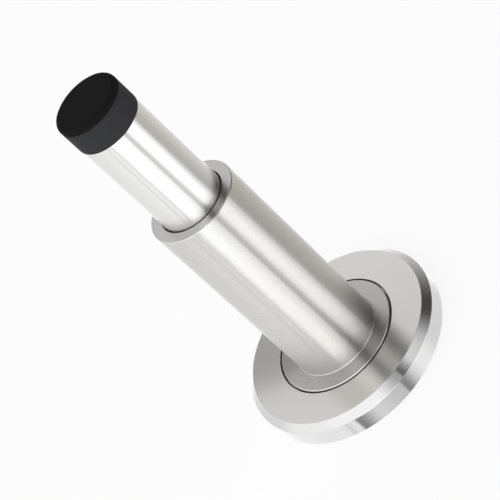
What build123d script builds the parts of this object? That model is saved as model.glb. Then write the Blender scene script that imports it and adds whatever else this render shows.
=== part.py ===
from build123d import *
import os

# Sprung wall door stop: a base disc, a post whose foot collar screws into it, and a plunger with
# a rubber pad that a damper and a coil spring carry inside the post.
# The wall face lies on z = 0 and the plunger points along +Z. Sizes are in millimetres.

# Plunger, the thin-walled piece that slides
PLUNGER_DIAMETER = 16.0
PLUNGER_WALL = 1.6
PLUNGER_REACH = 28.0
PLUNGER_END_WALL = 3.0
FLANGE_THICKNESS = 3.0
STROKE = 20.0

# Post, a tube turned in one piece with its foot collar
POST_WALL = 1.8
POST_LENGTH = 54.9
POST_RIM_CHAMFER = 0.2
MOUTH_LIP = 1.5
MOUTH_CHAMFER = 0.1
ROOT_CHAMFER = 0.35
COLLAR_WIDTH = 4.25
COLLAR_PROUD = 0.2
COLLAR_CHAMFER = 0.2
COLLAR_SEAT_WIDTH = 1.05

# Base disc, screwed to the wall
BASE_DIAMETER = 51.0
BASE_SIDE_HEIGHT = 4.8
BASE_BEVEL_WIDTH = 1.75
BASE_BEVEL_HEIGHT = 1.7
BASE_BACK_CHAMFER = 0.3
BASE_WEB = 3.0
RECESS_MOUTH_DEPTH = 1.9

# Countersunk holes for the wall screws, hidden by the collar
SCREW_COUNT = 3
SCREW_HOLE_DIAMETER = 4.2
SCREW_HEAD_DIAMETER = 7.8
SCREW_HEAD_ANGLE = 90
SCREW_HEAD_ROOM = 0.6

# Rubber pad with a stem in the plunger's end
PAD_DIAMETER = 16.0
PAD_THICKNESS = 7.55
PAD_FRONT_CHAMFER = 0.7
PAD_BACK_CHAMFER = 0.3
STEM_DIAMETER = 9.0
STEM_LENGTH = 4.6

# Guide bush behind the lip of the post
BUSH_WALL = 1.1
BUSH_LENGTH = 9.0

# Threaded plug in the foot of the post
PLUG_THICKNESS = 6.5
PLUG_INSET = 0.2
PLUG_POCKET_DEPTH = 3.0
PLUG_KEY_ACROSS_FLATS = 6.0
PLUG_KEY_DEPTH = 2.0

# Sealed damper and its rod
DAMPER_CHAMFER = 0.4
ROD_DIAMETER = 3.0
ROD_DIMPLE = 0.8
ROD_ENGAGED = 8.0

# Return spring, an open coil of square wire with ground ends
SPRING_WIRE = 1.2
SPRING_TURNS = 4.0

# Clearances, radial unless they are named for an end
SLIDE_CLEARANCE = 0.05
FIT_CLEARANCE = 0.05
MOUTH_CLEARANCE = 0.32
FLANGE_CLEARANCE = 0.2
RING_CLEARANCE = 0.45
SPRING_SIDE_ROOM = 0.5
DAMPER_SIDE_ROOM = 1.9
SCREW_HEAD_MARGIN = 0.3
STOP_END_CLEARANCE = 0.05
STEM_END_ROOM = 0.3
ROD_END_ROOM = 3.4

# Radii, worked out from the plunger outwards
plunger_radius = PLUNGER_DIAMETER / 2
plunger_bore = plunger_radius - PLUNGER_WALL
mouth_radius = plunger_radius + MOUTH_CLEARANCE
bush_bore = plunger_radius + SLIDE_CLEARANCE
bush_radius = bush_bore + BUSH_WALL
post_bore = bush_radius + FIT_CLEARANCE
post_radius = post_bore + POST_WALL
flange_radius = post_bore - FLANGE_CLEARANCE
collar_radius = post_radius + COLLAR_WIDTH
collar_seat_bore = collar_radius - COLLAR_SEAT_WIDTH
recess_radius = collar_radius + FIT_CLEARANCE
recess_mouth = collar_radius + RING_CLEARANCE
base_radius = BASE_DIAMETER / 2
base_face_radius = base_radius - BASE_BEVEL_WIDTH
screw_head_radius = SCREW_HEAD_DIAMETER / 2
screw_circle_radius = collar_seat_bore - SCREW_HEAD_MARGIN - screw_head_radius
pad_radius = PAD_DIAMETER / 2
stem_radius = STEM_DIAMETER / 2
socket_radius = stem_radius + FIT_CLEARANCE
plug_radius = post_bore - FIT_CLEARANCE
damper_radius = plunger_bore - DAMPER_SIDE_ROOM
plug_pocket_radius = damper_radius + FIT_CLEARANCE
rod_radius = ROD_DIAMETER / 2
rod_hole_radius = rod_radius + SLIDE_CLEARANCE
spring_radius = post_bore - SPRING_SIDE_ROOM - SPRING_WIRE / 2

# Heights above the wall face, with the plunger fully out
base_face = BASE_SIDE_HEIGHT + BASE_BEVEL_HEIGHT
recess_step = base_face - RECESS_MOUTH_DEPTH
collar_face = base_face + COLLAR_PROUD
foot_underside = BASE_WEB + SCREW_HEAD_ROOM
rim = collar_face + POST_LENGTH
lip_underside = rim - MOUTH_LIP
bush_foot = lip_underside - BUSH_LENGTH
flange_top = bush_foot - STOP_END_CLEARANCE
flange_foot = flange_top - FLANGE_THICKNESS
pad_back = rim + PLUNGER_REACH
stem_end = pad_back - STEM_LENGTH
socket_floor = stem_end - STEM_END_ROOM
plunger_ceiling = socket_floor - PLUNGER_END_WALL
plug_foot = foot_underside + PLUG_INSET
plug_top = plug_foot + PLUG_THICKNESS
damper_foot = plug_top - PLUG_POCKET_DEPTH
damper_top = plunger_ceiling - STROKE - ROD_END_ROOM
rod_foot = damper_top - ROD_ENGAGED
rod_top = plunger_ceiling + ROD_DIMPLE

# Base disc: bevelled rim, a recess for the collar with a wider mouth, and countersunk screw holes
with BuildPart() as base_rose:
    with BuildSketch(Plane.XZ):
        with BuildLine():
            Polyline(
                (0, 0),
                (base_radius - BASE_BACK_CHAMFER, 0),
                (base_radius, BASE_BACK_CHAMFER),
                (base_radius, BASE_SIDE_HEIGHT),
                (base_face_radius, base_face),
                (recess_mouth, base_face),
                (recess_mouth, recess_step),
                (recess_radius, recess_step),
                (recess_radius, BASE_WEB),
                (0, BASE_WEB),
                close=True,
            )
        make_face()
    revolve(axis=Axis.Z)
    with Locations(Plane.XY.offset(BASE_WEB)):
        with PolarLocations(screw_circle_radius, SCREW_COUNT, start_angle=90):
            CounterSinkHole(
                radius=SCREW_HOLE_DIAMETER / 2,
                counter_sink_radius=screw_head_radius,
                depth=BASE_WEB,
                counter_sink_angle=SCREW_HEAD_ANGLE,
            )

# Post: tube with a lip at its mouth, open at the foot, and the collar that closes the recess
with BuildPart() as post_body:
    with BuildSketch(Plane.XZ):
        with BuildLine():
            Polyline(
                (post_bore, foot_underside),
                (collar_seat_bore, foot_underside),
                (collar_seat_bore, BASE_WEB),
                (collar_radius, BASE_WEB),
                (collar_radius, collar_face - COLLAR_CHAMFER),
                (collar_radius - COLLAR_CHAMFER, collar_face),
                (post_radius + ROOT_CHAMFER, collar_face),
                (post_radius, collar_face + ROOT_CHAMFER),
                (post_radius, rim - POST_RIM_CHAMFER),
                (post_radius - POST_RIM_CHAMFER, rim),
                (mouth_radius + MOUTH_CHAMFER, rim),
                (mouth_radius, rim - MOUTH_CHAMFER),
                (mouth_radius, lip_underside),
                (post_bore, lip_underside),
                close=True,
            )
        make_face()
    revolve(axis=Axis.Z)

# Guide bush: plastic ring under the lip, its bore a running fit on the plunger
with BuildPart() as guide_bush:
    with BuildSketch(Plane.XY.offset(bush_foot)):
        Circle(bush_radius)
        Circle(bush_bore, mode=Mode.SUBTRACT)
    extrude(amount=BUSH_LENGTH)

# Plunger: hollow from below, a flange that stops under the bush, a socket for the pad's stem
with BuildPart() as plunger:
    with BuildSketch(Plane.XZ):
        with BuildLine():
            Polyline(
                (plunger_bore, flange_foot),
                (flange_radius, flange_foot),
                (flange_radius, flange_top),
                (plunger_radius, flange_top),
                (plunger_radius, pad_back),
                (socket_radius, pad_back),
                (socket_radius, socket_floor),
                (0, socket_floor),
                (0, rod_top),
                (rod_hole_radius, rod_top),
                (rod_hole_radius, plunger_ceiling),
                (plunger_bore, plunger_ceiling),
                close=True,
            )
        make_face()
    revolve(axis=Axis.Z)

# Bumper pad: moulded rubber button with broken edges, and a stem on its back
with BuildPart() as bumper_pad:
    with BuildSketch(Plane.XY.offset(pad_back)):
        Circle(pad_radius)
    extrude(amount=PAD_THICKNESS)
    chamfer(bumper_pad.edges().group_by(Axis.Z)[-1], PAD_FRONT_CHAMFER)
    chamfer(bumper_pad.edges().group_by(Axis.Z)[0], PAD_BACK_CHAMFER)
    with BuildSketch(Plane.XY.offset(stem_end)):
        Circle(stem_radius)
    extrude(amount=STEM_LENGTH)

# End plug: screwed into the foot of the post, with a pocket for the damper and a hexagon socket below
with BuildPart() as end_plug:
    with BuildSketch(Plane.XY.offset(plug_foot)):
        Circle(plug_radius)
    extrude(amount=PLUG_THICKNESS)
    with Locations(Plane.XY.offset(plug_top)):
        Hole(radius=plug_pocket_radius, depth=PLUG_POCKET_DEPTH)
    with BuildSketch(Plane.XY.offset(plug_foot)):
        RegularPolygon(PLUG_KEY_ACROSS_FLATS / 2, side_count=6, major_radius=False)
    extrude(amount=PLUG_KEY_DEPTH, mode=Mode.SUBTRACT)

# Damper: sealed cylinder that stands in the plug's pocket, bored for its rod's whole travel
with BuildPart() as damper_cylinder:
    with BuildSketch(Plane.XY.offset(damper_foot)):
        Circle(damper_radius)
    extrude(amount=damper_top - damper_foot)
    chamfer(damper_cylinder.edges().group_by(Axis.Z)[-1], DAMPER_CHAMFER)
    with Locations(Plane.XY.offset(damper_top)):
        Hole(radius=rod_hole_radius, depth=ROD_ENGAGED + STROKE + ROD_END_ROOM)

# Damper rod: from inside the damper to the dimple in the plunger's end wall
with BuildPart() as damper_rod:
    with BuildSketch(Plane.XY.offset(rod_foot)):
        Circle(rod_radius)
    extrude(amount=rod_top - rod_foot)

# Return spring: coil between the plug and the plunger's flange, both ends ground flat
with BuildPart() as return_spring:
    spring_length = flange_foot - plug_top
    with BuildLine() as coil:
        Helix(spring_length / SPRING_TURNS, spring_length, spring_radius, center=(0, 0, plug_top))
    with BuildSketch(Plane(origin=coil.line @ 0, x_dir=(1, 0, 0), z_dir=coil.line % 0)):
        Rectangle(SPRING_WIRE, SPRING_WIRE)
    sweep(path=coil.line, is_frenet=True)
    split(bisect_by=Plane.XY.offset(plug_top), keep=Keep.TOP)
    split(bisect_by=Plane.XY.offset(flange_foot), keep=Keep.BOTTOM)

pieces = {
    "base_rose": base_rose,
    "post_body": post_body,
    "guide_bush": guide_bush,
    "plunger": plunger,
    "bumper_pad": bumper_pad,
    "end_plug": end_plug,
    "damper_cylinder": damper_cylinder,
    "damper_rod": damper_rod,
    "return_spring": return_spring,
}
os.makedirs("parts", exist_ok=True)
for name, piece in pieces.items():
    piece.part.label = name
    export_step(piece.part, f"parts/{name}.step")
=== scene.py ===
import math

import bpy
from mathutils import Matrix, Vector


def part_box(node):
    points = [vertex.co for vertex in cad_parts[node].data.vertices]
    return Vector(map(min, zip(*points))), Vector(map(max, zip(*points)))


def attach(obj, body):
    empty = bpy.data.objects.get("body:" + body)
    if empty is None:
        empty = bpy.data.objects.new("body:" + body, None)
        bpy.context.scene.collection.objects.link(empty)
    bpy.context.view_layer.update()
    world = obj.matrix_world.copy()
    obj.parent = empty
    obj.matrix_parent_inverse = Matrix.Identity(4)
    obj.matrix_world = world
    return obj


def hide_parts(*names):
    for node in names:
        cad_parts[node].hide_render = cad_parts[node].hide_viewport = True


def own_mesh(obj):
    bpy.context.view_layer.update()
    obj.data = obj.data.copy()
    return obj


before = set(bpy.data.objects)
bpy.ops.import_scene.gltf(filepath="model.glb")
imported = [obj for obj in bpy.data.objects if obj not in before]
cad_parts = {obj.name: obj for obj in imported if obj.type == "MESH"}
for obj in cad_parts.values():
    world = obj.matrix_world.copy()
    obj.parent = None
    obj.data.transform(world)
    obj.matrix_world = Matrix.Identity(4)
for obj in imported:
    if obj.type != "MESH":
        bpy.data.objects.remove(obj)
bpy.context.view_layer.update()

# Base disc
# A thick stainless disc, turned from bar: a satin face, a polished bevel and side, and a recess in
# front for the post's collar. Three countersunk wall screws in the recess hold it to the wall.
MM = 0.001
TURN_STEPS = 256
BREAK_SEGMENTS = 4
SMOOTH_ANGLE = math.radians(28)
MERGE_DISTANCE = 0.0005 * MM

_, base_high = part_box("base_rose")
base_radius = base_high.x
base_face = base_high.z
BASE_SIDE_HEIGHT = 4.8 * MM
BASE_BEVEL_WIDTH = 1.75 * MM
BASE_BACK_CHAMFER = 0.3 * MM
BASE_WEB = 3.0 * MM
RECESS_MOUTH_RADIUS = 15.7 * MM
RECESS_MOUTH_FLOOR = 4.6 * MM
RECESS_RADIUS = 15.3 * MM
BASE_EDGE_BREAK = 0.06 * MM
MOUTH_EDGE_BREAK = 0.1 * MM

SCREW_COUNT = 3
SCREW_CIRCLE_RADIUS = 10.0 * MM
SCREW_HOLE_RADIUS = 2.1 * MM
SCREW_HEAD_RADIUS = 3.9 * MM
SCREW_STEPS = 48
FIRST_SCREW_ANGLE = 90
CUTTER_MARGIN = 1.0 * MM


def start_piece(name):
    """Names the newest object and puts its place into its mesh, with its origin at the frame's."""
    piece = bpy.context.object
    piece.name = name
    piece.data.name = name
    bpy.ops.object.transform_apply(location=True, rotation=True, scale=True)
    return piece


def select_vertices(piece, wanted):
    """In edit mode, selects only the vertices whose place passes the test."""
    bpy.ops.mesh.select_mode(type="VERT")
    bpy.ops.mesh.select_all(action="DESELECT")
    bpy.ops.object.mode_set(mode="OBJECT")
    for vertex in piece.data.vertices:
        vertex.select = wanted(vertex.co)
    bpy.ops.object.mode_set(mode="EDIT")


def turn(name, corners, steps=TURN_STEPS):
    """Turns a piece on the Z axis from the (radius, height, edge break) corners of its section.
    A section that starts and ends on the axis is closed by it, any other is joined end to end."""
    first = Vector((corners[0][0], 0, corners[0][1]))
    last = Vector((corners[-1][0], 0, corners[-1][1]))
    bpy.ops.object.select_all(action="DESELECT")
    bpy.ops.mesh.primitive_plane_add(size=MM, location=first)
    piece = start_piece(name)
    bpy.ops.object.mode_set(mode="EDIT")
    bpy.ops.mesh.merge(type="CENTER")
    for (radius, height, _), (next_radius, next_height, _) in zip(corners, corners[1:]):
        move = (next_radius - radius, 0, next_height - height)
        bpy.ops.mesh.extrude_vertices_move(TRANSFORM_OT_translate={"value": move})
    if first.x > 0:
        ends = (first, last)
        select_vertices(piece, lambda co: any((co - end).length < MERGE_DISTANCE for end in ends))
        bpy.ops.mesh.edge_face_add()
    for size in sorted({corner[2] for corner in corners if corner[2] > 0}):
        broken = [Vector((radius, 0, height)) for radius, height, edge in corners if edge == size]
        select_vertices(piece, lambda co: any((co - spot).length < MERGE_DISTANCE for spot in broken))
        bpy.ops.mesh.bevel(offset=size, segments=BREAK_SEGMENTS, affect="VERTICES")
    bpy.ops.mesh.select_all(action="SELECT")
    bpy.ops.mesh.spin(steps=steps, angle=2 * math.pi, center=(0, 0, 0), axis=(0, 0, 1))
    bpy.ops.mesh.select_all(action="SELECT")
    bpy.ops.mesh.remove_doubles(threshold=MERGE_DISTANCE)
    bpy.ops.mesh.normals_make_consistent(inside=False)
    bpy.ops.object.mode_set(mode="OBJECT")
    return piece


def apply_modifier(piece, kind, **settings):
    """Adds a modifier to the piece, sets it and applies it."""
    bpy.context.view_layer.objects.active = piece
    modifier = piece.modifiers.new(kind.lower(), kind)
    for setting, value in settings.items():
        setattr(modifier, setting, value)
    bpy.ops.object.modifier_apply(modifier=modifier.name)


def smooth(piece):
    """Smooths the round walls, keeps flats flat up to their broken edges and true corners sharp."""
    bpy.ops.object.select_all(action="DESELECT")
    piece.select_set(True)
    bpy.context.view_layer.objects.active = piece
    bpy.ops.object.shade_smooth_by_angle(angle=SMOOTH_ANGLE)
    apply_modifier(piece, "WEIGHTED_NORMAL", keep_sharp=True)


base_disc = turn(
    "base_disc",
    [
        (0, 0, 0),
        (base_radius - BASE_BACK_CHAMFER, 0, 0),
        (base_radius, BASE_BACK_CHAMFER, BASE_EDGE_BREAK),
        (base_radius, BASE_SIDE_HEIGHT, BASE_EDGE_BREAK),
        (base_radius - BASE_BEVEL_WIDTH, base_face, BASE_EDGE_BREAK),
        (RECESS_MOUTH_RADIUS, base_face, MOUTH_EDGE_BREAK),
        (RECESS_MOUTH_RADIUS, RECESS_MOUTH_FLOOR, 0),
        (RECESS_RADIUS, RECESS_MOUTH_FLOOR, 0),
        (RECESS_RADIUS, BASE_WEB, 0),
        (0, BASE_WEB, 0),
    ],
)
head_depth = SCREW_HEAD_RADIUS - SCREW_HOLE_RADIUS
for number in range(SCREW_COUNT):
    cutter = turn(
        "screw_hole_cutter",
        [
            (0, -CUTTER_MARGIN, 0),
            (SCREW_HOLE_RADIUS, -CUTTER_MARGIN, 0),
            (SCREW_HOLE_RADIUS, BASE_WEB - head_depth, 0),
            (SCREW_HEAD_RADIUS, BASE_WEB, 0),
            (SCREW_HEAD_RADIUS, BASE_WEB + CUTTER_MARGIN, 0),
            (0, BASE_WEB + CUTTER_MARGIN, 0),
        ],
        steps=SCREW_STEPS,
    )
    angle = math.radians(FIRST_SCREW_ANGLE + 360 / SCREW_COUNT * number)
    cutter.location = SCREW_CIRCLE_RADIUS * Vector((math.cos(angle), math.sin(angle), 0))
    bpy.ops.object.transform_apply(location=True)
    apply_modifier(base_disc, "BOOLEAN", operation="DIFFERENCE", solver="EXACT", object=cutter)
    bpy.data.objects.remove(cutter)
smooth(base_disc)

MIX_SHARE = 0
MIX_FIRST_COLOUR = 6
MIX_SECOND_COLOUR = 7
MIX_COLOUR = 2
NOISE_MEAN = 0.5


class Value:
    """An output socket of a node tree. Arithmetic on it adds Math nodes to the same tree."""

    def __init__(self, finish, socket):
        self.finish = finish
        self.socket = socket

    def maths(self, operation, first, second):
        """A Math node on two values or numbers."""
        return self.finish.add("Math", {"operation": operation}, {0: first, 1: second})

    def __add__(self, other):
        return self.maths("ADD", self, other)

    def __radd__(self, other):
        return self.maths("ADD", other, self)

    def __sub__(self, other):
        return self.maths("SUBTRACT", self, other)

    def __rsub__(self, other):
        return self.maths("SUBTRACT", other, self)

    def __mul__(self, other):
        return self.maths("MULTIPLY", self, other)

    def __rmul__(self, other):
        return self.maths("MULTIPLY", other, self)

    def __truediv__(self, other):
        return self.maths("DIVIDE", self, other)

    def __pow__(self, other):
        return self.maths("POWER", self, other)

    def __abs__(self):
        return self.maths("ABSOLUTE", self, 0)


def axis_distance(x, y):
    """How far a point lies from the Z axis."""
    return (x * x + y * y) ** 0.5


class Finish:
    """A node tree that is being filled, of a material or of the world."""

    def __init__(self, owner):
        owner.use_nodes = True
        self.tree = owner.node_tree
        self.tree.nodes.clear()

    def add(self, kind, settings, sockets, output=0):
        """Adds one node: its settings first, then the values or links of its sockets."""
        node = self.tree.nodes.new("ShaderNode" + kind)
        for setting, value in settings.items():
            setattr(node, setting, value)
        for socket, value in sockets.items():
            if isinstance(value, Value):
                self.tree.links.new(value.socket, node.inputs[socket])
            else:
                node.inputs[socket].default_value = value
        return Value(self, node.outputs[output]) if node.outputs else None

    def split(self, vector):
        """The three coordinates of a vector."""
        return [self.add("SeparateXYZ", {}, {"Vector": vector}, output=axis) for axis in "XYZ"]

    def place(self):
        """Where a point of the surface lies in the piece's own frame."""
        return self.add("TexCoord", {}, {}, output="Object")

    def rise(self, value, low, high):
        """A smooth step from 0 at low to 1 at high."""
        limits = {"From Min": low, "From Max": high, "To Min": 0, "To Max": 1}
        return self.add("MapRange", {"interpolation_type": "SMOOTHSTEP"}, {"Value": value, **limits})

    def noise(self, vector, scale=1.0):
        """Noise from 0 to 1 about a mean of one half."""
        return self.add("TexNoise", {}, {"Vector": vector, "Scale": scale})

    def vary(self, noise, mean, spread):
        """A number that follows the noise about a mean, over a spread from least to most."""
        return mean + spread * (noise - NOISE_MEAN)

    def mix(self, share, first, second):
        """A colour between two colours."""
        sockets = {MIX_SHARE: share, MIX_FIRST_COLOUR: first, MIX_SECOND_COLOUR: second}
        return self.add("Mix", {"data_type": "RGBA"}, sockets, output=MIX_COLOUR)

    def turning_marks(self, pitch, drawn_out):
        """Fine lines round the axis, about a pitch apart, the longer the lower drawn_out is."""
        x, y, z = self.split(self.place())
        radius = axis_distance(x, y)
        across = (radius + z) / pitch
        around = {"Y": x / radius * drawn_out, "Z": y / radius * drawn_out}
        return self.noise(self.add("CombineXYZ", {}, {"X": across, **around}))

    def bump(self, height, depth):
        """A normal from a height of 0 to 1 that stands for this depth."""
        return self.add("Bump", {}, {"Strength": 1.0, "Distance": depth, "Height": height})

    def finish_with(self, kind, sockets):
        """Adds the shader that the surface ends in."""
        shader = self.add(kind, {}, sockets)
        self.add("OutputMaterial", {}, {"Surface": shader})


def wear(piece, material):
    """Gives the whole piece this one material."""
    piece.data.materials.clear()
    piece.data.materials.append(material)


FACE_DARK = (0.60, 0.588, 0.564, 1)
FACE_LIGHT = (0.65, 0.637, 0.611, 1)
RIM_COLOUR = (0.64, 0.64, 0.638, 1)
# The groove colour is painted shade: it darkens the walls in the gap between the disc's recess and
# the collar.
GROOVE_SHADE_COLOUR = (0.42, 0.42, 0.41, 1)
FACE_ROUGHNESS = 0.25
FACE_ROUGHNESS_SPREAD = 0.08
POLISHED_ROUGHNESS = 0.10
FACE_LINE_PITCH = 0.12 * MM
FACE_LINE_DRAW = 3.0
FACE_LINE_DEPTH = 0.0006 * MM
FACE_ANISOTROPY = 0.90
ACROSS_THE_LINES = 0.25
GROOVE_REACH = 0.5 * MM
GROOVE_FADE = 0.5 * MM

base_steel = bpy.data.materials.new("satin_face_polished_rim")
finish = Finish(base_steel)
marks = finish.turning_marks(FACE_LINE_PITCH, FACE_LINE_DRAW)
x, y, z = finish.split(finish.place())
off_face = 1 - finish.rise(z, base_face - MOUTH_EDGE_BREAK, base_face - MOUTH_EDGE_BREAK / 2)
groove_edge = RECESS_MOUTH_RADIUS + GROOVE_REACH
outside = finish.rise(axis_distance(x, y), groove_edge, groove_edge + GROOVE_FADE)
polished = off_face * outside
# Painted shade: the recess wall in the gap round the collar takes the darker groove colour.
groove_shade_mask = off_face * (1 - outside)
face_colour = finish.mix(marks, FACE_DARK, FACE_LIGHT)
outer_colour = finish.mix(polished, face_colour, RIM_COLOUR)
face_roughness = finish.vary(marks, FACE_ROUGHNESS, FACE_ROUGHNESS_SPREAD)
finish.finish_with(
    "BsdfPrincipled",
    {
        "Base Color": finish.mix(groove_shade_mask, outer_colour, GROOVE_SHADE_COLOUR),
        "Metallic": 1.0,
        "Roughness": face_roughness + polished * (POLISHED_ROUGHNESS - FACE_ROUGHNESS),
        "Anisotropic": FACE_ANISOTROPY,
        "Anisotropic Rotation": ACROSS_THE_LINES,
        "Normal": finish.bump(marks, FACE_LINE_DEPTH),
    },
)
wear(base_disc, base_steel)
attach(base_disc, "base")
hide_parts("base_rose")

# Post
# A thick stainless tube turned in one piece with the collar that screws into the base disc.
# Its outside is brushed round the axis, and a lip at its mouth holds the guide bush.
post_low, post_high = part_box("post_body")
collar_radius = post_high.x
post_foot = post_low.z
rim = post_high.z
POST_RADIUS = 11.0 * MM
POST_BORE = 9.2 * MM
MOUTH_RADIUS = 8.32 * MM
LIP = 1.5 * MM
COLLAR_FACE = 6.7 * MM
COLLAR_CHAMFER = 0.2 * MM
COLLAR_SEAT_BORE = 14.2 * MM
FOOT_UNDERSIDE = 3.6 * MM
ROOT_RADIUS = 0.35 * MM
RIM_CHAMFER = 0.2 * MM
MOUTH_CHAMFER = 0.1 * MM
POST_EDGE_BREAK = 0.04 * MM

post_tube = turn(
    "post_tube",
    [
        (POST_BORE, FOOT_UNDERSIDE, 0),
        (COLLAR_SEAT_BORE, FOOT_UNDERSIDE, 0),
        (COLLAR_SEAT_BORE, post_foot, 0),
        (collar_radius, post_foot, 0),
        (collar_radius, COLLAR_FACE - COLLAR_CHAMFER, POST_EDGE_BREAK),
        (collar_radius - COLLAR_CHAMFER, COLLAR_FACE, POST_EDGE_BREAK),
        (POST_RADIUS, COLLAR_FACE, ROOT_RADIUS),
        (POST_RADIUS, rim - RIM_CHAMFER, POST_EDGE_BREAK),
        (POST_RADIUS - RIM_CHAMFER, rim, POST_EDGE_BREAK),
        (MOUTH_RADIUS + MOUTH_CHAMFER, rim, POST_EDGE_BREAK),
        (MOUTH_RADIUS, rim - MOUTH_CHAMFER, POST_EDGE_BREAK),
        (MOUTH_RADIUS, rim - LIP, 0),
        (POST_BORE, rim - LIP, 0),
    ],
)
smooth(post_tube)

POST_DARK = (0.55, 0.542, 0.522, 1)
POST_LIGHT = (0.74, 0.732, 0.705, 1)
# The collar and the rim face are coloured darker than the tube as painted shade, next to the tube and
# the plunger.
COLLAR_SHADE_COLOUR = (0.443, 0.438, 0.428, 1)
RIM_FACE_SHADE_COLOUR = (0.48, 0.475, 0.462, 1)
POST_ROUGHNESS = 0.285
POST_ROUGHNESS_SPREAD = 0.03
COLLAR_ROUGHNESS = 0.27
RIM_FACE_ROUGHNESS = 0.22
POST_LINE_PITCH = 0.16 * MM
POST_LINE_DRAW = 8.0
POST_LINE_DEPTH = 0.0008 * MM
POST_ANISOTROPY = 0.99

post_steel = bpy.data.materials.new("steel_brushed_round")
finish = Finish(post_steel)
marks = finish.turning_marks(POST_LINE_PITCH, POST_LINE_DRAW)
x, y, z = finish.split(finish.place())
radius = axis_distance(x, y)
chamfer_start = collar_radius - COLLAR_CHAMFER
chamfer_foot = COLLAR_FACE - COLLAR_CHAMFER
above_collar = finish.rise(z, COLLAR_FACE, COLLAR_FACE + ROOT_RADIUS / 2)
past_collar = finish.rise(radius, chamfer_start - POST_EDGE_BREAK, chamfer_start)
on_collar = (1 - above_collar) * (1 - past_collar)
on_rim = finish.rise(z, rim - POST_EDGE_BREAK, rim)
# Painted shade: the collar's side down in the disc's recess takes the darker groove colour too.
above_groove = finish.rise(z, chamfer_foot - POST_EDGE_BREAK, chamfer_foot)
in_groove_shade = finish.rise(radius, chamfer_start, collar_radius) * (1 - above_groove)
collar_change = on_collar * (COLLAR_ROUGHNESS - POST_ROUGHNESS)
rim_change = on_rim * (RIM_FACE_ROUGHNESS - POST_ROUGHNESS)
tube_roughness = finish.vary(marks, POST_ROUGHNESS, POST_ROUGHNESS_SPREAD)
tube_colour = finish.mix(marks, POST_DARK, POST_LIGHT)
# Painted shade: the collar and the rim face take their darker colours.
turned_colour_with_shade = finish.mix(on_collar, tube_colour, COLLAR_SHADE_COLOUR)
turned_colour_with_shade = finish.mix(on_rim, turned_colour_with_shade, RIM_FACE_SHADE_COLOUR)
finish.finish_with(
    "BsdfPrincipled",
    {
        "Base Color": finish.mix(in_groove_shade, turned_colour_with_shade, GROOVE_SHADE_COLOUR),
        "Metallic": 1.0,
        "Roughness": tube_roughness + collar_change + rim_change,
        "Anisotropic": POST_ANISOTROPY,
        "Anisotropic Rotation": ACROSS_THE_LINES,
        "Normal": finish.bump(marks, POST_LINE_DEPTH),
    },
)
wear(post_tube, post_steel)
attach(post_tube, "base")
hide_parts("post_body")

# End plug and damper rod
# Plain turned steel. The plug screws into the foot of the post and carries the damper and the coil;
# the rod runs in the damper and pushes on the plunger's end wall.
PLAIN_DARK = (0.44, 0.44, 0.44, 1)
PLAIN_LIGHT = (0.56, 0.56, 0.56, 1)
PLAIN_ROUGHNESS = 0.28
PLAIN_ROUGHNESS_SPREAD = 0.1
PLAIN_LINE_PITCH = 0.2 * MM
PLAIN_LINE_DRAW = 2.0

plain_steel = bpy.data.materials.new("plain_turned_steel")
finish = Finish(plain_steel)
marks = finish.turning_marks(PLAIN_LINE_PITCH, PLAIN_LINE_DRAW)
finish.finish_with(
    "BsdfPrincipled",
    {
        "Base Color": finish.mix(marks, PLAIN_DARK, PLAIN_LIGHT),
        "Metallic": 1.0,
        "Roughness": finish.vary(marks, PLAIN_ROUGHNESS, PLAIN_ROUGHNESS_SPREAD),
    },
)
for node in ("end_plug", "damper_rod"):
    wear(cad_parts[node], plain_steel)

# Damper
# A sealed oil damper in a drawn aluminium cylinder, pushed into the plug's pocket.
# Drawing leaves fine lines along it, and the metal is otherwise bare.
DAMPER_DARK = (0.54, 0.55, 0.56, 1)
DAMPER_LIGHT = (0.66, 0.67, 0.68, 1)
DAMPER_ROUGHNESS = 0.3
DAMPER_ROUGHNESS_SPREAD = 0.1
DRAWN_SCALE = (9000, 9000, 150)

damper_metal = bpy.data.materials.new("drawn_aluminium")
finish = Finish(damper_metal)
drawn = finish.add("Mapping", {}, {"Vector": finish.place(), "Scale": DRAWN_SCALE})
lines = finish.noise(drawn)
finish.finish_with(
    "BsdfPrincipled",
    {
        "Base Color": finish.mix(lines, DAMPER_DARK, DAMPER_LIGHT),
        "Metallic": 1.0,
        "Roughness": finish.vary(lines, DAMPER_ROUGHNESS, DAMPER_ROUGHNESS_SPREAD),
    },
)
wear(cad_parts["damper_cylinder"], damper_metal)

# Return spring
# An open coil of square spring wire, ground flat at both ends, round the damper. It stands on the
# plug and pushes the plunger's flange up; here it is built at one length and moves with the base.
spring_low, spring_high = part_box("return_spring")
SPRING_WIRE = 1.2 * MM
SPRING_MEAN_RADIUS = 8.1 * MM
SPRING_TURNS = 4
SPRING_STEPS = 96
spring_length = spring_high.z - spring_low.z

bpy.ops.object.select_all(action="DESELECT")
bpy.ops.mesh.primitive_plane_add(
    size=SPRING_WIRE,
    location=(SPRING_MEAN_RADIUS, 0, spring_low.z),
    rotation=(math.pi / 2, 0, 0),
)
coil = start_piece("spring_coil")
apply_modifier(
    coil,
    "SCREW",
    screw_offset=spring_length / SPRING_TURNS,
    iterations=SPRING_TURNS,
    steps=SPRING_STEPS,
    render_steps=SPRING_STEPS,
    use_merge_vertices=False,
)
bpy.ops.object.mode_set(mode="EDIT")
for height, upward in ((spring_low.z, -1), (spring_high.z, 1)):
    bpy.ops.mesh.select_all(action="SELECT")
    bpy.ops.mesh.bisect(
        plane_co=(0, 0, height),
        plane_no=(0, 0, upward),
        clear_outer=True,
        use_fill=True,
    )
bpy.ops.mesh.select_all(action="SELECT")
bpy.ops.mesh.remove_doubles(threshold=MERGE_DISTANCE)
bpy.ops.mesh.normals_make_consistent(inside=False)
bpy.ops.object.mode_set(mode="OBJECT")
smooth(coil)

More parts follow.
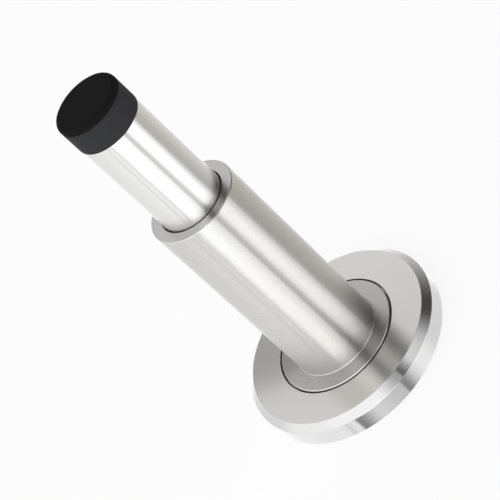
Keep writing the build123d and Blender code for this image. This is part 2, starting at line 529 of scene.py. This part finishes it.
WIRE_DARK = (0.24, 0.24, 0.25, 1)
WIRE_LIGHT = (0.36, 0.36, 0.37, 1)
WIRE_ROUGHNESS = 0.3
WIRE_ROUGHNESS_SPREAD = 0.12
WIRE_MOTTLE_SCALE = 900.0

spring_steel = bpy.data.materials.new("drawn_spring_wire")
finish = Finish(spring_steel)
mottle = finish.noise(finish.place(), WIRE_MOTTLE_SCALE)
finish.finish_with(
    "BsdfPrincipled",
    {
        "Base Color": finish.mix(mottle, WIRE_DARK, WIRE_LIGHT),
        "Metallic": 1.0,
        "Roughness": finish.vary(mottle, WIRE_ROUGHNESS, WIRE_ROUGHNESS_SPREAD),
    },
)
wear(coil, spring_steel)
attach(coil, "base")
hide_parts("return_spring")
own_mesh(coil)

# Guide bush
# A moulded black nylon ring pressed in under the lip of the post, in which the plunger runs.
# Its end shows as the dark line round the plunger.
NYLON_DARK = (0.012, 0.012, 0.012, 1)
NYLON_LIGHT = (0.022, 0.022, 0.022, 1)
NYLON_ROUGHNESS = 0.5
NYLON_ROUGHNESS_SPREAD = 0.15
NYLON_GRAIN_SCALE = 4000.0
NYLON_GRAIN_DEPTH = 0.01 * MM

nylon = bpy.data.materials.new("moulded_black_nylon")
finish = Finish(nylon)
grain = finish.noise(finish.place(), NYLON_GRAIN_SCALE)
finish.finish_with(
    "BsdfPrincipled",
    {
        "Base Color": finish.mix(grain, NYLON_DARK, NYLON_LIGHT),
        "Roughness": finish.vary(grain, NYLON_ROUGHNESS, NYLON_ROUGHNESS_SPREAD),
        "Normal": finish.bump(grain, NYLON_GRAIN_DEPTH),
    },
)
wear(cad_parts["guide_bush"], nylon)

# Plunger
# A thin-walled stainless plunger, polished bright, that slides in the bush. A flange inside the post
# stops it, and a socket in its end takes the pad's stem.
plunger_low, plunger_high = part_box("plunger")
flange_foot = plunger_low.z
plunger_end = plunger_high.z
flange_radius = plunger_high.x
PLUNGER_RADIUS = 8.0 * MM
PLUNGER_BORE = 6.4 * MM
FLANGE_THICKNESS = 3.0 * MM
SOCKET_RADIUS = 4.55 * MM
SOCKET_FLOOR = 84.7 * MM
PLUNGER_CEILING = 81.7 * MM
ROD_DIMPLE_RADIUS = 1.55 * MM
ROD_DIMPLE_TOP = 82.5 * MM
PLUNGER_EDGE_BREAK = 0.15 * MM

plunger_tube = turn(
    "plunger_tube",
    [
        (0, SOCKET_FLOOR, 0),
        (SOCKET_RADIUS, SOCKET_FLOOR, 0),
        (SOCKET_RADIUS, plunger_end, 0),
        (PLUNGER_RADIUS, plunger_end, PLUNGER_EDGE_BREAK),
        (PLUNGER_RADIUS, flange_foot + FLANGE_THICKNESS, 0),
        (flange_radius, flange_foot + FLANGE_THICKNESS, PLUNGER_EDGE_BREAK),
        (flange_radius, flange_foot, PLUNGER_EDGE_BREAK),
        (PLUNGER_BORE, flange_foot, 0),
        (PLUNGER_BORE, PLUNGER_CEILING, 0),
        (ROD_DIMPLE_RADIUS, PLUNGER_CEILING, 0),
        (ROD_DIMPLE_RADIUS, ROD_DIMPLE_TOP, 0),
        (0, ROD_DIMPLE_TOP, 0),
    ],
)
smooth(plunger_tube)

BRIGHT_DARK = (0.73, 0.727, 0.718, 1)
BRIGHT_LIGHT = (0.79, 0.786, 0.776, 1)
PLUNGER_ROUGHNESS = 0.23
PLUNGER_ROUGHNESS_SPREAD = 0.04
PLUNGER_LINE_PITCH = 0.1 * MM
PLUNGER_LINE_DRAW = 2.0
PLUNGER_ANISOTROPY = 0.96

bright_steel = bpy.data.materials.new("bright_polished_steel")
finish = Finish(bright_steel)
marks = finish.turning_marks(PLUNGER_LINE_PITCH, PLUNGER_LINE_DRAW)
finish.finish_with(
    "BsdfPrincipled",
    {
        "Base Color": finish.mix(marks, BRIGHT_DARK, BRIGHT_LIGHT),
        "Metallic": 1.0,
        "Roughness": finish.vary(marks, PLUNGER_ROUGHNESS, PLUNGER_ROUGHNESS_SPREAD),
        "Anisotropic": PLUNGER_ANISOTROPY,
        "Anisotropic Rotation": ACROSS_THE_LINES,
    },
)
wear(plunger_tube, bright_steel)
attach(plunger_tube, "plunger")
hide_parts("plunger")

# Bumper pad
# A button of moulded black rubber with rounded edges, as wide as the plunger, with a duller front.
# A stem on its back is pushed into the socket in the plunger's end.
pad_low, pad_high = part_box("bumper_pad")
pad_radius = pad_high.x
pad_front = pad_high.z
stem_end = pad_low.z
STEM_RADIUS = 4.5 * MM
PAD_FRONT_RADIUS = 1.1 * MM
PAD_BACK_RADIUS = 0.3 * MM

rubber_pad = turn(
    "rubber_pad",
    [
        (0, stem_end, 0),
        (STEM_RADIUS, stem_end, 0),
        (STEM_RADIUS, plunger_end, 0),
        (pad_radius, plunger_end, PAD_BACK_RADIUS),
        (pad_radius, pad_front, PAD_FRONT_RADIUS),
        (0, pad_front, 0),
    ],
)
smooth(rubber_pad)

RUBBER_FRONT = (0.0075, 0.0075, 0.0075, 1)
RUBBER_SIDE = (0.0275, 0.0278, 0.030, 1)
RUBBER_ROUGHNESS = 0.7
RUBBER_FRONT_ROUGHNESS = 0.9
RUBBER_ROUGHNESS_SPREAD = 0.1
RUBBER_SPECULAR = 0.08
RUBBER_FRONT_DEPTH = 1.6 * MM
RUBBER_FRONT_FADE = 0.3 * MM
RUBBER_GRAIN_SCALE = 3500.0
RUBBER_GRAIN_DEPTH = 0.02 * MM

rubber = bpy.data.materials.new("moulded_black_rubber")
finish = Finish(rubber)
grain = finish.noise(finish.place(), RUBBER_GRAIN_SCALE)
_, _, z = finish.split(finish.place())
front_start = pad_front - RUBBER_FRONT_DEPTH
front = finish.rise(z, front_start, front_start + RUBBER_FRONT_FADE)
front_change = front * (RUBBER_FRONT_ROUGHNESS - RUBBER_ROUGHNESS)
grain_roughness = finish.vary(grain, RUBBER_ROUGHNESS, RUBBER_ROUGHNESS_SPREAD)
finish.finish_with(
    "BsdfPrincipled",
    {
        "Base Color": finish.mix(front, RUBBER_SIDE, RUBBER_FRONT),
        "Roughness": grain_roughness + front_change,
        "Specular IOR Level": RUBBER_SPECULAR,
        "Normal": finish.bump(grain, RUBBER_GRAIN_DEPTH),
    },
)
wear(rubber_pad, rubber)
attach(rubber_pad, "plunger")
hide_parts("bumper_pad")

# Floor
# A white sheet under the stop, mostly lit from within, that keeps a soft shadow. Mirrored in the
# metal it reaches only a little past the disc and glows there, with painted light in pale bands and
# painted shadows of the post in grey bands, which the disc's side shows.
FLOOR_SIZE = 6.0
FLOOR_WHITE = (0.95, 0.95, 0.95, 1)
WHITE = (1, 1, 1, 1)
FLOOR_GLOW = 0.85
NEAR_FLOOR_RADIUS = 31 * MM
NEAR_FLOOR_FADE = 3.1 * MM
NEAR_FLOOR_LIGHT = 1.2

# Each step or band is a strength and then its bearings in degrees.
# In reflections the steps and bands are painted light, and the grey ones painted shadows of the post.
FLOOR_BACK_LOSS = 0.55
FLOOR_BACK = (98, 112)
FLOOR_LIGHT_STEPS = {
    "front": (-0.22, -27, -25),
    "right side": (0.2, 66, 82),
}
FLOOR_LIGHT_AND_SHADOW_BANDS = {
    "left line": (-0.22, -33, -31, -31, -27),
    "left strip": (-0.64, -26, -24, -24, -12),
    "front shade": (-0.2, -14, 4, 8, 20),
    "right shadow of the post": (-0.43, 4, 6, 6, 14),
    "right glow": (0.28, 8, 22, 22, 38),
}


def bearing_of(x, y):
    """Degrees round the Z axis from the camera's side, positive to its right."""
    return x.maths("ARCTAN2", x, 0 - y) * math.degrees(1)


def band(value, start, full, waning, end):
    """1 from full to waning, with smooth edges down to 0 at start and end."""
    rise = value.finish.rise
    return rise(value, start, full) * (1 - rise(value, waning, end))


def add_steps(light, value, steps):
    """Adds to the light each step's strength, which comes in between its two bearings."""
    for strength, start, end in steps.values():
        light = light + strength * value.finish.rise(value, start, end)
    return light


def add_bands(light, value, bands):
    """Adds to the light each band's strength, between its four bearings."""
    for strength, *bearings in bands.values():
        light = light + strength * band(value, *bearings)
    return light


bpy.ops.object.select_all(action="DESELECT")
bpy.ops.mesh.primitive_plane_add(size=FLOOR_SIZE)
floor = start_piece("floor")
white_sheet = bpy.data.materials.new("white_sheet")
finish = Finish(white_sheet)
camera_ray = finish.add("LightPath", {}, {}, output="Is Camera Ray")
glossy_ray = finish.add("LightPath", {}, {}, output="Is Glossy Ray")
x, y, _ = finish.split(finish.place())
radius = axis_distance(x, y)
far = finish.rise(radius, NEAR_FLOOR_RADIUS, NEAR_FLOOR_RADIUS + NEAR_FLOOR_FADE)
facing = bearing_of(x, y) * base_radius / radius
near_light = NEAR_FLOOR_LIGHT - FLOOR_BACK_LOSS * finish.rise(abs(facing), *FLOOR_BACK)
near_light = add_steps(near_light, facing, FLOOR_LIGHT_STEPS)
near_light = add_bands(near_light, facing, FLOOR_LIGHT_AND_SHADOW_BANDS)
sheet = finish.add("BsdfDiffuse", {}, {"Color": FLOOR_WHITE})
# Painted light and shadow: in reflections the near floor glows with the steps and bands above.
glow = finish.add("Emission", {}, {"Color": WHITE, "Strength": 1 + glossy_ray * (near_light - 1)})
lit = camera_ray * FLOOR_GLOW + glossy_ray
near_sheet = finish.add("MixShader", {}, {0: lit, 1: sheet, 2: glow})
passed = finish.add("BsdfTransparent", {}, {})
finish.finish_with("MixShader", {0: glossy_ray * far, 1: near_sheet, 2: passed})
wear(floor, white_sheet)
floor.visible_diffuse = False
floor.visible_shadow = False

# Grey card
# A level card of the studio, held up behind the disc on the left and clear from above. Only its
# reflection shows, as the darker part of the disc's face. Its edges fade, the near one on a slant.
CARD_HEIGHT = 35 * MM
CARD_SIZE = 90 * MM
CARD_LEFT = -85 * MM
CARD_NEAR = 13 * MM
CARD_FADE = 18 * MM
SLANT_START_X = -22 * MM
SLANT_START_Y = 31 * MM
SLANT = 0.9
CARD_GREY = 0.53
card_right = CARD_LEFT + CARD_SIZE
card_far = CARD_NEAR + CARD_SIZE

bpy.ops.object.select_all(action="DESELECT")
bpy.ops.mesh.primitive_plane_add(
    size=CARD_SIZE,
    location=((CARD_LEFT + card_right) / 2, (CARD_NEAR + card_far) / 2, CARD_HEIGHT),
)
grey_card = start_piece("grey_card")
card_paper = bpy.data.materials.new("grey_paper")
finish = Finish(card_paper)
x, y, _ = finish.split(finish.place())
across = band(x, CARD_LEFT, CARD_LEFT + CARD_FADE, card_right - CARD_FADE, card_right)
slanted = y + SLANT * (x - SLANT_START_X)
near_edge = finish.rise(slanted, SLANT_START_Y, SLANT_START_Y + CARD_FADE)
far_edge = finish.rise(y, card_far - CARD_FADE, card_far)
from_below = finish.add("NewGeometry", {}, {}, output="Backfacing")
paper = finish.add("Emission", {}, {"Color": WHITE, "Strength": CARD_GREY})
clear = finish.add("BsdfTransparent", {}, {})
covered = across * (near_edge - far_edge) * from_below
finish.finish_with("MixShader", {0: covered, 1: clear, 2: paper})
wear(grey_card, card_paper)
grey_card.visible_camera = False
grey_card.visible_diffuse = False
grey_card.visible_transmission = False
grey_card.visible_shadow = False

# Studio
# A pale room with two softboxes towards the camera, a dark slit between them, and a dark card on the
# right. It is written by bearing in degrees and by height, from -1 straight down to 1 straight up.
ABOVE_STARTS = (-0.5, -0.2)
LEVEL_ENDS = (-0.05, 0.2)
HIGH_STARTS = (0.1, 0.35)
TOP_STARTS = (0.54, 0.7)
BACK_WALL = (148, 160)
BACK_WALL_LIGHT = 0.4

KEY_BOX = (-45, -29, 5, 9)
KEY_LIGHT = 2.95
KEY_FALL = 0.45
KEY_FALL_BEARINGS = (-20, 6)
SLIT = (5, 9, 14, 20)
SLIT_LOSS = 0.25
RIGHT_BOX = (19.5, 22.5, 62.5, 65.5)
RIGHT_BOX_CENTRE = 37
RIGHT_BOX_LIGHT = 2.1
RIGHT_BOX_FALL = 0.0024
RIGHT_FOOT_LIGHT = 0.15
RIGHT_FOOT_FALL = 0.0005
LOW_BANDS = {
    "left wall": (0.13, -120, -66, -56, -50),
    "left strip": (0.24, -59, -55, -47, -43),
    "outer seam": (-0.65, -61.7, -60.3, -58.7, -57.3),
    "inner seam": (-0.65, -49.2, -47.8, -46.2, -44.8),
    "foot of the key softbox": (-0.1, -44, -28, -4, 12),
    "foot of the slit": (-0.22, *SLIT),
}

HIGH_STEPS = {
    "left wall": (0.28, -150, -115),
    "near end of the left wall": (0.1, -100, -60),
    "dark front": (-0.8, -22, 16),
    "dark front, right": (-0.36, 16, 20),
    "right wall": (0.06, 20, 41),
}
HIGH_ENDS = (90, 125)
FRONT_BANDS = {
    "middle": (-0.5, 0, 6, 12, 18),
    "right of the middle": (-0.24, 12, 18, 29, 35),
}
FRONT_BANDS_END = (0.66, 0.76)
TOP_LIGHT = 0.72
TOP_BEARINGS = (20, 41)

DARK_CARD_TINT = (1, 0.97, 0.93, 1)
DARK_CARD_UPPER = (0.48, 0.6)
DARK_CARD_EDGE = (62, 66)
DARK_CARD_UPPER_EDGE = (82, 102)
DARK_CARD_END = (142, 156)
DARK_CARD_HIGH_END = (138, 156)
DARK_CARD_LIFT = (-0.3, 0.45)
DARK_CARD_FOOT_GREY = 0.62
DARK_CARD_FOOT_GAIN = 0.24
DARK_CARD_FOOT_BEARINGS = (76, 140)
DARK_CARD_TOP_GREY = 0.09
DARK_CARD_TOP_GAIN = 0.33
DARK_CARD_TOP_BEARINGS = (100, 160)


def between(share, first, second):
    """A number between two numbers."""
    return first * (1 - share) + second * share


studio = bpy.data.worlds.new("studio")
bpy.context.scene.world = studio
finish = Finish(studio)
x, y, height = finish.split(finish.add("TexCoord", {}, {}, output="Generated"))
bearing = bearing_of(x, y)
above = finish.rise(height, *ABOVE_STARTS)
low = 1 - above
level = above - finish.rise(height, *LEVEL_ENDS)
high = finish.rise(height, *HIGH_STARTS)
top = finish.rise(height, *TOP_STARTS)
behind = finish.rise(abs(bearing), *BACK_WALL)

right_box = band(bearing, *RIGHT_BOX)
off_centre_squared = (bearing - RIGHT_BOX_CENTRE) ** 2
low_light = right_box * (RIGHT_FOOT_LIGHT - RIGHT_FOOT_FALL * off_centre_squared)
low_light = add_bands(low_light, bearing, LOW_BANDS) + BACK_WALL_LIGHT * behind

key_fall = 1 - KEY_FALL * finish.rise(bearing, *KEY_FALL_BEARINGS)
level_light = KEY_LIGHT * band(bearing, *KEY_BOX) * key_fall
level_light = level_light - SLIT_LOSS * band(bearing, *SLIT)
level_light = level_light + right_box * (RIGHT_BOX_LIGHT - RIGHT_BOX_FALL * off_centre_squared)

top_light = TOP_LIGHT * top * finish.rise(bearing, *TOP_BEARINGS)
under_top = 1 - finish.rise(height, *FRONT_BANDS_END)
high_light = add_steps(top_light, bearing, HIGH_STEPS)
high_light = high_light + under_top * add_bands(0, bearing, FRONT_BANDS)
high_light = high_light * (1 - finish.rise(bearing, *HIGH_ENDS)) * (1 - behind)
room = 1 + low * low_light + level * level_light + high * high_light

upper = finish.rise(height, *DARK_CARD_UPPER)
card_edge = finish.rise(bearing, *DARK_CARD_EDGE)
card_edge = between(upper, card_edge, finish.rise(bearing, *DARK_CARD_UPPER_EDGE))
card_end = finish.rise(bearing, *DARK_CARD_END)
card_end = between(high, card_end, finish.rise(bearing, *DARK_CARD_HIGH_END))
dark_card = card_edge * (1 - card_end)
foot_gain = DARK_CARD_FOOT_GAIN * finish.rise(bearing, *DARK_CARD_FOOT_BEARINGS)
top_gain = DARK_CARD_TOP_GAIN * finish.rise(bearing, *DARK_CARD_TOP_BEARINGS)
lifted = finish.rise(height, *DARK_CARD_LIFT)
card_light = between(lifted, DARK_CARD_FOOT_GREY + foot_gain, DARK_CARD_TOP_GREY + top_gain)

tint = finish.mix(dark_card, WHITE, DARK_CARD_TINT)
light = between(dark_card, room, card_light)
lit_room = finish.add("Background", {}, {"Color": tint, "Strength": light})
backdrop = finish.add("Background", {}, {"Color": WHITE, "Strength": 1.0})
camera_ray = finish.add("LightPath", {}, {}, output="Is Camera Ray")
seen = finish.add("MixShader", {}, {0: camera_ray, 1: lit_room, 2: backdrop})
finish.add("OutputWorld", {}, {"Surface": seen})
bpy.context.scene.view_settings.view_transform = "Standard"

# Camera
# A long lens about 0.4 m away, well above the stop. It is rolled so that the post runs across the
# picture from corner to corner, as in the photograph.
CAMERA_AIM = Vector((0.00097, 0, 0.04113))
CAMERA_DISTANCE = 0.3948
CAMERA_ELEVATION = math.radians(35.92)
CAMERA_ROLL = math.radians(-46.98)
CAMERA_LENS = 128.0
CAMERA_NEAREST = 0.01
CAMERA_FARTHEST = 20

bpy.ops.object.camera_add()
camera = bpy.context.object
camera.data.lens = CAMERA_LENS
camera.data.clip_start = CAMERA_NEAREST
camera.data.clip_end = CAMERA_FARTHEST
tilt = Matrix.Rotation(math.pi / 2 - CAMERA_ELEVATION, 4, "X")
outwards = Vector((0, -math.cos(CAMERA_ELEVATION), math.sin(CAMERA_ELEVATION)))
stand = Matrix.Translation(CAMERA_AIM + CAMERA_DISTANCE * outwards)
camera.matrix_world = stand @ tilt @ Matrix.Rotation(CAMERA_ROLL, 4, "Z")
bpy.context.scene.camera = camera
